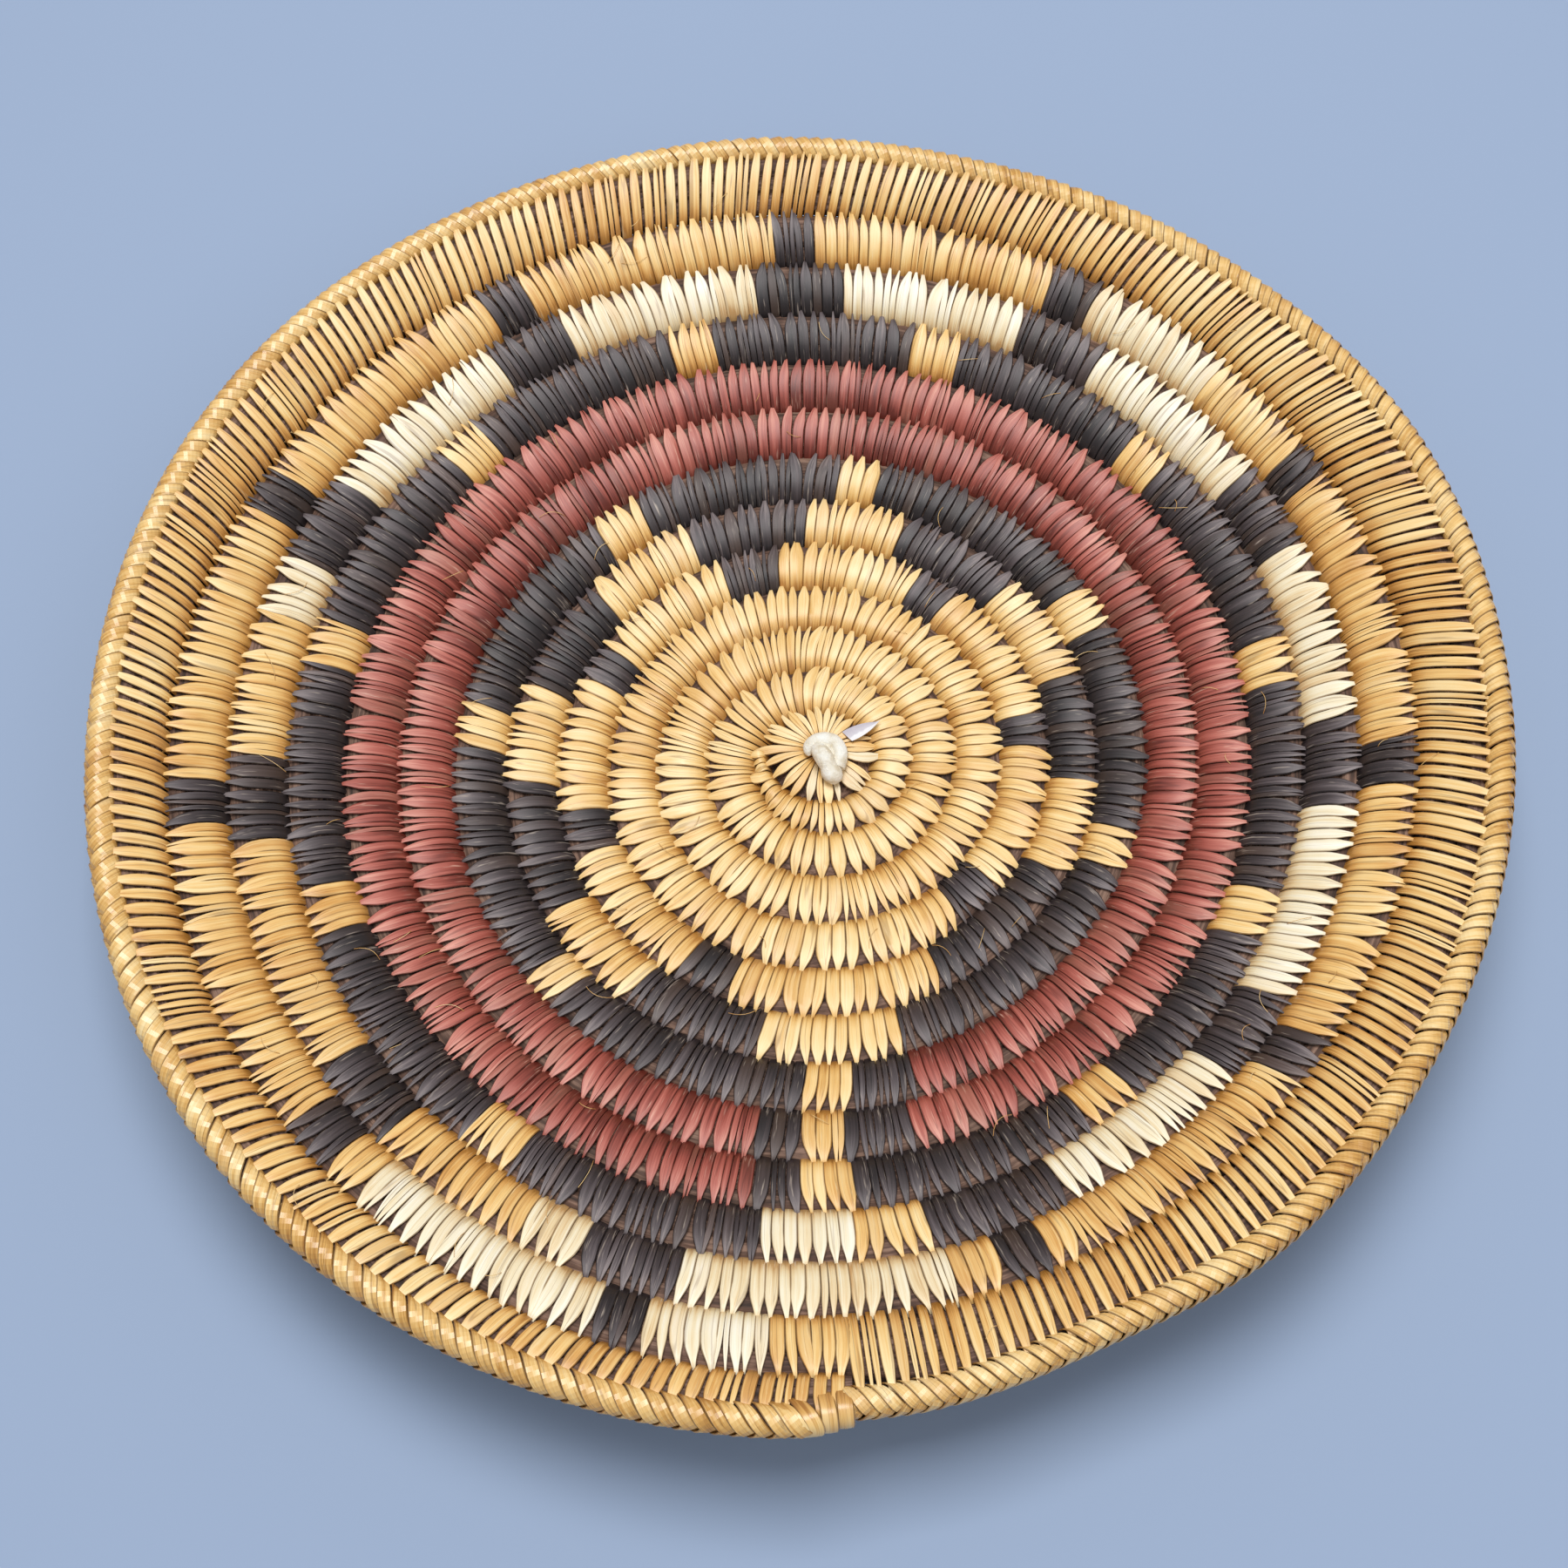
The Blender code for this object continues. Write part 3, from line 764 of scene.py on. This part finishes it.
def sew_start(materials):
    """The crowded stitches of the start: a first small ring, and the coil that leaves it."""
    for name, colour, pale in (("centre_start_stitches", "tan", False),
                               ("centre_start_bleached_stitches", "white", True)):
        mesh = bmesh.new()
        master = master_ring(mesh, len(STITCH_PROFILE))
        draw = random.Random(62)
        for first_turn, last_turn, count in ((0.0, 1.0, 30), (COIL_START, 1.0, 13)):
            widths = [draw.uniform(0.6, 1.4) for _ in range(count)]
            begin = first_turn
            for width in widths:
                span = width * (last_turn - first_turn) / sum(widths)
                middle = begin + 0.5 * span
                inner, outer = coil_edges(middle)
                if first_turn == 0.0:
                    inner, outer = START_HOLE, start_ring_edge(middle)
                stations = stitch_stations(begin, begin + span, draw.uniform(-0.35, 0.20) * span,
                                           draw.uniform(-0.6, 0.6) * span, inner,
                                           outer + draw.uniform(-0.0004, 0.0014),
                                           STITCH_HALF_THICK * draw.uniform(0.88, 1.03),
                                           draw.uniform(0.85, 1.05))
                tone, tilt = draw.random(), draw.uniform(-0.2, 0.2)
                # Below and right of the knot some of them have bleached.
                bleached = first_turn == 0.0 and (middle < 0.24 or middle > 0.93)
                if (bleached and draw.random() < 0.5) == pale:
                    lay(mesh, master, stations, True, SPLINT_THICK,
                        0.2 * tone if pale else tone, tilt)
                begin += span
        drop_master(mesh, master)
        finish(name, mesh, materials[colour], ["centre_start"])
    # Coiled fibre inside the start, behind the stitches.
    mesh = bmesh.new()
    seat = surface(0.0, 0.0)
    outline = [(0.0016, 0.0016), (0.006, 0.0022), (0.0105, 0.0020), (0.0135, 0.0)]
    outline += [(radius, -height) for radius, height in reversed(outline[:-1])]
    spin_outline(mesh, [(seat.x + radius, seat.y, HALF_THICK + height)
                        for radius, height in outline],
                 seat, (0.0, 0.0, 1.0), 2.0 * math.pi, 32, 0.00001)
    finish("centre_start_filling", mesh, materials["rod"], ["centre_start"])


def lay_rod(name, runs, radius, material, nodes):
    """Round rods through lists of points with a share of the full radius at each."""
    curve = bpy.data.curves.new(name, "CURVE")
    curve.dimensions = "3D"
    curve.bevel_depth = radius
    curve.bevel_resolution = 2
    curve.use_fill_caps = True
    for run in runs:
        spline = curve.splines.new("POLY")
        spline.points.add(len(run) - 1)
        for point, (place, share) in zip(spline.points, run):
            point.co = (*place, 1.0)
            point.radius = share
        spline.use_smooth = True
    curve.materials.append(material)
    carry(bpy.data.objects.new(name, curve), nodes)


def coil_rods(materials):
    for name, across, up, radius in (("rod_upper", 0.5, 0.0013, UPPER_ROD),
                                     ("rod_lower_outer", 0.76, -0.0003, LOWER_ROD),
                                     ("rod_lower_inner", 0.24, -0.0003, LOWER_ROD)):
        run = []
        first, last = int((COIL_START + 0.02) * ROD_STEPS), (TURNS + 1) * ROD_STEPS
        for step in range(first, last + 1):
            turn = step / ROD_STEPS
            inner, outer = coil_edges(turn)
            squeeze = max(0.05, min(1.0, (outer - inner) / COIL_PITCH))
            place = inner + across * (outer - inner)
            square = surface_axes(place, turn)[1]
            run.append((surface(place, turn) + square * (up * squeeze), squeeze ** 0.6))
        lay_rod(f"{name}_round", [run], radius, materials["rod"], [name])


def scatter_fibres(materials):
    """Hairs of bark that have come loose and lie about on the stitches."""
    groups = {}
    for _ in range(STRAY_FIBRES):
        turn = turn_at(chance.uniform(arc_at(2.0), arc_at(12.9)))
        groups.setdefault(node_of(turn), []).append(turn)
    for node, turns in groups.items():
        mesh = bmesh.new()
        master = master_strap(mesh, 6)
        for turn in turns:
            inner, outer = coil_edges(turn)
            middle = inner + chance.uniform(0.15, 0.80) * (outer - inner)
            heading, bend = chance.uniform(0.0, math.pi), chance.uniform(-0.22, 0.22)
            length = chance.uniform(0.0025, 0.0075)
            stations = []
            for step in range(7):
                along = length * (step / 6.0 - 0.5)
                aside = bend * length * (1.0 - (step / 3.0 - 1.0) ** 2)
                radius = middle + along * math.sin(heading) + aside * math.cos(heading)
                ahead = along * math.cos(heading) - aside * math.sin(heading)
                place = turn + ahead / (2.0 * math.pi * middle)
                square = surface_axes(radius, place)[1]
                lift = FIBRE_LIFT + FIBRE_ARCH * (1.0 - (step / 3.0 - 1.0) ** 2)
                stations.append((surface(radius, place) + square * lift, square, FIBRE_HALF))
            lay(mesh, master, stations, False, FIBRE_THICK, chance.random())
        drop_master(mesh, master)
        finish(f"{node}_stray_fibres", mesh, materials["tan"], [node])


# The rim.

def rim_place(share, round_angle, lift, reach=0.0):
    """A point on the braid's round section and the direction outward from it."""
    inner = rim_edge(share) - BRAID_WIDTH - reach
    # The bound end is drawn in toward the braid's start.
    outer = rim_edge(share) - BRAID_INSET - BOUND_INSET * ease(share, BOUND_FROM, 1.0)
    middle, half = 0.5 * (inner + outer), 0.5 * (outer - inner)
    outward, square = surface_axes(middle, share)
    cosine, sine = math.cos(round_angle), math.sin(round_angle)
    plump = ((abs(cosine) ** BRAID_SQUARENESS + abs(sine) ** BRAID_SQUARENESS)
             ** (-1.0 / BRAID_SQUARENESS))
    normal = (outward * cosine / half + square * sine / BRAID_HALF_HEIGHT).normalized()
    return (surface(middle, share) + outward * (half * plump * cosine)
            + square * (BRAID_HALF_HEIGHT * plump * sine) + normal * lift), normal


def crossing(share):
    """Where the two lanes pass each other, in degrees up from the outer side."""
    return 3.0 + 9.0 * (1.0 - ease(share, 0.08, 0.18)) - 24.0 * ease(share, 0.76, 0.88)


def strap_lean(share):
    """How far a strap runs along the rim for each length that it goes round it."""
    return 0.62 + 0.26 * (1.0 - ease(share, 0.05, 0.20) + ease(share, 0.74, 0.90))


def braid_rim(materials):
    """Two lanes of straps that lean the same way round and lock in herringbone points.

    One lane crosses the whole top from the inner edge; the other comes from below, and
    only its loops show along the outer side.
    """
    steps = 16
    mesh = bmesh.new()
    master = master_strap(mesh, steps)
    tone = 0.5
    starts = strap_starts()
    straps = [(start, following - start) for start, following in zip(starts, starts[1:])
              if following < BRAID_END + 0.0015]
    straps = [(back * straps[0][1], straps[0][1]) for back in (-4, -3, -2, -1)] + straps
    for index, (start, unit) in enumerate(straps):
        if index % 7 == 0:
            tone = chance.random()
        for lane in (0, 1):
            begin = max(0.0, start)
            lean = strap_lean(begin)
            wide = (math.pi * RIM_RADIUS * unit / math.hypot(1.0, lean)
                    * chance.uniform(1.00, 1.14))
            meet = crossing(begin)
            first, last = (202.0, meet - 24.0) if lane == 0 else (-165.0, meet + 21.0)
            jitter = chance.uniform(-0.07, 0.07)
            stations = []
            for step in range(steps + 1):
                angle = first + (last - first) * step / steps
                gone = abs(angle - first) / 360.0 * BRAID_GIRTH
                foot = start + (jitter + (0.5 if lane == 0 else 0.0)) * unit
                place = max(-0.0008, foot + lean * gone / (2.0 * math.pi * RIM_RADIUS))
                rise = ease(angle, meet - DIP, meet + DIP)
                if lane == 0:
                    lift = -0.0003 + 0.0007 * rise - 0.0006 * ease(angle, 168.0, 202.0)
                else:
                    lift = 0.00035 - 0.0008 * rise
                point, normal = rim_place(place, math.radians(angle), lift)
                end = min(step, steps - step) / steps
                stations.append((point, normal, wide * min(1.0, 0.7 + 2.4 * end)))
            lay(mesh, master, stations, False, STRAP_THICK,
                0.5 * tone + 0.5 * chance.random(), -0.15 if lane == 0 else 0.15)
    drop_master(mesh, master)
    finish("rim_braid_straps", mesh, materials["rim"], ["rim_braid"])
    run, core_steps = [], 240
    for step in range(core_steps + 1):
        share = CORE_END * step / core_steps
        run.append((rim_place(share, 0.0, 0.0)[0].lerp(rim_place(share, math.pi, 0.0)[0], 0.5),
                    1.0))
    lay_rod("rim_braid_core", [run], CORE_RADIUS, materials["rod"], ["rim_braid"])


def wrap_end(materials):
    """The braid's end, bound down by leaning straps and two upright ones."""
    steps = 24
    # Each band's share of the rim, lean, half width, lift and further reach inward.
    for name, bands in (("rim_end_wrap_1", ((0.9866, 0.0034, 0.0015, 0.0003, 0.0006),
                                            (0.9899, 0.0028, 0.0016, 0.0004, 0.0014))),
                        ("rim_end_wrap_2", ((0.9946, 0.0007, 0.0017, 0.0006, 0.0026),
                                            (0.9982, 0.0003, 0.0017, 0.0006, 0.0030)))):
        mesh = bmesh.new()
        master = master_ring(mesh, steps)
        for share, lean, half, lift, reach in bands:
            stations = []
            for step in range(steps):
                angle = math.pi - 2.0 * math.pi * step / steps
                point, normal = rim_place(share + lean * math.cos(angle), angle, lift, reach)
                stations.append((point, normal, half))
            lay(mesh, master, stations, True, WRAP_THICK, chance.uniform(0.35, 0.9), -0.08)
        drop_master(mesh, master)
        finish(f"{name}_bands", mesh, materials["rim"], [name])


# The centre.

def string_run(points):
    """Points of a string in millimetres from the middle of the start's top, thickened."""
    seat = surface(0.0, 0.0)
    return [(Vector((seat.x + 0.001 * x, seat.y + 0.001 * y, 2.0 * HALF_THICK + 0.001 * z)),
             share) for x, y, z, share in points]


def smooth_run(run, steps=4):
    """A run with points added on a smooth curve through it."""
    full = []
    for index in range(len(run) - 1):
        before, start = run[max(0, index - 1)], run[index]
        end, after = run[index + 1], run[min(len(run) - 1, index + 2)]
        for step in range(steps):
            t = step / steps
            weights = (-0.5 * t + t * t - 0.5 * t ** 3, 1.0 - 2.5 * t * t + 1.5 * t ** 3,
                       0.5 * t + 2.0 * t * t - 1.5 * t ** 3, -0.5 * t * t + 0.5 * t ** 3)
            parts = (before, start, end, after)
            place = sum((part[0] * weight for part, weight in zip(parts, weights)), Vector())
            full.append((place, sum(part[1] * weight for part, weight in zip(parts, weights))))
    return full + [run[-1]]


def tie_knot(materials):
    arch = smooth_run(string_run([
        (-3.0, -2.4, 0.8, 0.25), (-3.3, -1.6, 1.2, 0.55), (-2.9, -0.4, 1.7, 0.80),
        (-1.2, 0.6, 2.1, 0.95), (1.0, 0.7, 2.3, 1.0), (3.0, -0.2, 2.3, 1.05),
        (4.1, -2.1, 2.2, 1.05), (4.1, -4.4, 2.1, 1.0), (3.4, -6.6, 1.9, 0.95)]))
    front = smooth_run(string_run([
        (-1.2, -0.6, 1.8, 0.60), (-0.9, -1.8, 2.7, 0.95), (-0.1, -3.4, 3.3, 1.18),
        (0.8, -5.2, 3.1, 1.20), (1.4, -6.6, 2.7, 1.10)]))
    down = string_run([(0.0, 0.0, -8.2, 0.6), (0.0, 0.0, -2.0, 0.6), (0.6, -0.8, 1.0, 0.9),
                       (1.4, -2.2, 1.9, 1.0), (2.4, -4.6, 1.6, 0.9)])
    lay_rod("string_knot_cord", [arch, front, down], STRING_RADIUS, materials["cotton"],
            ["string_knot"])
    tail = smooth_run(string_run([
        (1.2, -6.2, 2.7, 1.1), (1.8, -7.6, 2.3, 1.28), (2.2, -8.9, 2.0, 1.24),
        (2.3, -9.9, 1.8, 0.98), (2.3, -10.5, 1.7, 0.55), (2.3, -10.7, 1.7, 0.15)]))
    lay_rod("string_tail_cord", [tail], STRING_RADIUS, materials["cotton"],
            ["string_tail"])


def drop_flake(materials):
    """A thin pointed leaf, lifted a little at its point, with one long edge folded up."""
    seat = surface(0.0, 0.0)
    base = Vector((seat.x + 0.0064, seat.y + 0.0020, 2.0 * HALF_THICK + 0.0006))
    along = Vector((math.cos(FLAKE_HEADING), math.sin(FLAKE_HEADING), 0.0))
    across = Vector((-along.y, along.x, 0.0))
    mesh = bmesh.new()
    bmesh.ops.create_grid(mesh, x_segments=10, y_segments=5, size=0.5)
    uv = mesh.loops.layers.uv.new("splint")
    for face in mesh.faces:
        for loop in face.loops:
            loop[uv].uv = (loop.vert.co.x + 0.5, loop.vert.co.y + 0.5)
    for corner in mesh.verts:
        share, side = corner.co.x + 0.5, corner.co.y
        width = FLAKE_WIDTH * max(0.03, 1.0 - share ** 1.7) * (0.86 + 0.5 * share)
        lift = 0.0009 * share + 0.0007 * max(0.0, -side - 0.2) - 0.0003 * side
        place = base + along * (FLAKE_LENGTH * share - 0.001 * side) + across * (width * side)
        corner.co = place + Vector((0.0, 0.0, lift))
    bmesh.ops.solidify(mesh, geom=mesh.faces, thickness=FLAKE_THICK)
    bmesh.ops.remove_doubles(mesh, verts=mesh.verts, dist=0.00002)
    finish("pale_flake_leaf", mesh, materials["husk"], ["pale_flake"])


# The set.

def build_set():
    mesh = bmesh.new()
    bmesh.ops.create_grid(mesh, x_segments=1, y_segments=1, size=4.0)
    data = bpy.data.meshes.new("paper_floor")
    mesh.to_mesh(data)
    mesh.free()
    data.materials.append(floor_material())
    floor = bpy.data.objects.new("paper_floor", data)
    bpy.context.scene.collection.objects.link(floor)
    world = bpy.data.worlds.new("studio")
    world.use_nodes = True
    world.node_tree.nodes["Background"].inputs["Color"].default_value = tint("#E4E9F2")
    world.node_tree.nodes["Background"].inputs["Strength"].default_value = 0.45
    bpy.context.scene.world = world
    for name, place, size, power in (("softbox", (-0.01, 0.15, 1.5), 0.65, 17.0),
                                     ("window", (0.45, -0.55, 1.10), 0.60, 1.4)):
        lamp = bpy.data.lights.new(name, "AREA")
        lamp.size = size
        lamp.energy = power
        item = bpy.data.objects.new(name, lamp)
        item.location = place
        item.rotation_mode = "QUATERNION"
        item.rotation_quaternion = (Vector(place)).to_track_quat("Z", "Y")
        bpy.context.scene.collection.objects.link(item)


def place_camera():
    across, up, back = camera_axes()
    lens = bpy.data.cameras.new("viewpoint")
    lens.lens = LENS
    lens.sensor_width = SENSOR
    lens.clip_start = 0.05
    item = bpy.data.objects.new("viewpoint", lens)
    matrix = item.matrix_world.copy()
    for row in range(3):
        matrix[row][0], matrix[row][1], matrix[row][2] = across[row], up[row], back[row]
        matrix[row][3] = (AIM + back * CAMERA_REACH)[row]
    item.matrix_world = matrix
    bpy.context.scene.collection.objects.link(item)
    bpy.context.scene.camera = item


def main():
    place_camera()
    build_set()
    materials = {
        "tan": splint_material("inner_tan_splint", ("#B87E38", "#E2B165", "#F5CF8B", "#FDE4AF"),
                               "#7C4E22", "#F8E3B4", 0.5, "#DAA868", (0.05, 0.27), 0.40),
        "golden": splint_material("golden_splint", ("#AC7430", "#D79F54", "#EEC37A", "#FADFA5"),
                                  "#70441C", "#F8E3B4", 0.5, "#D2A060", (0.05, 0.27), 0.38),
        "rim": splint_material("rim_splint", ("#A87234", "#D5A257", "#EFC67F", "#FBE1A9"),
                               "#683E1A", "#F6E0AC", 0.4, "#D2A060", (0.15, 0.45), 0.29),
        "white": splint_material("peeled_white_splint",
                                 ("#C69A62", "#E6CB9B", "#F2E3BF", "#FBF4E0"),
                                 "#8C6A44", "#FCF5E2", 0.5, "#E8C999", (0.05, 0.27), 0.40),
        "black": splint_material("black_dyed_splint",
                                 ("#201818", "#3A2F2F", "#564B4C", "#8A7D7B"),
                                 "#171213", "#AD9E90", 0.9, "#5E4636", (0.05, 0.50), 0.48),
        "red": splint_material("red_dyed_splint", ("#65261A", "#9A493B", "#B86556", "#DF9A86"),
                               "#4C1A11", "#E4B8A2", 0.6, "#A06C58", (0.05, 0.45), 0.46),
        "rod": rod_material(), "cotton": cotton_material(), "husk": husk_material()}
    sew_coils(materials)
    sew_start(materials)
    coil_rods(materials)
    scatter_fibres(materials)
    braid_rim(materials)
    wrap_end(materials)
    tie_knot(materials)
    drop_flake(materials)
    bpy.context.scene.view_settings.view_transform = "Standard"


main()
